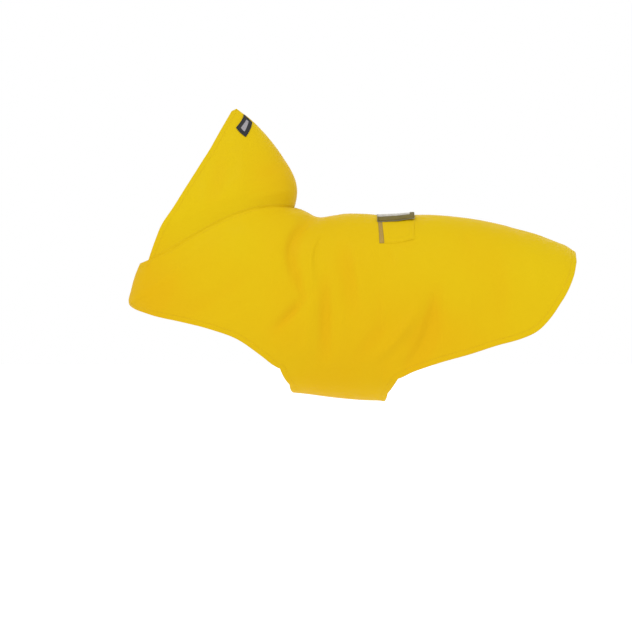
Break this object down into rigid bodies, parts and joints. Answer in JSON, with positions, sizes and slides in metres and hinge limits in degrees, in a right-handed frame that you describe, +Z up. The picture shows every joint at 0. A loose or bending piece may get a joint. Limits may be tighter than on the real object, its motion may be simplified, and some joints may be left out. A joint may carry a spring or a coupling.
{
  "type": "dog raincoat",
  "caption": "Hooded raincoat for a large dog in its worn form, with wrapped chest and belly flaps and a covered lead slit on the back.",
  "frame": {"origin": "just under the inner face of the back, on the middle line at the top of the shoulders, where the wearer's back carries the coat", "axes": "+Z up, +X towards the tail hem, -Y on the wearer's left side"},
  "size_m": [0.7168, 0.2272, 0.4707],
  "materials": {
    "coated_cloth": "satin waterproof coating on a fine plain weave",
    "reflective_tape": "grey retroreflective",
    "edge_tape": "dark woven edging",
    "label": "woven matt black"
  },
  "bodies": {
    "root": {"body_left": "coated_cloth", "body_right": "coated_cloth", "hood_left": "coated_cloth", "hood_right": "coated_cloth", "slit_patch_left": "coated_cloth", "slit_patch_right": "coated_cloth", "lead_flap": "reflective_tape", "tape_across": "reflective_tape", "flap_binding": "edge_tape", "hood_label": "label"}
  },
  "joints": []
}
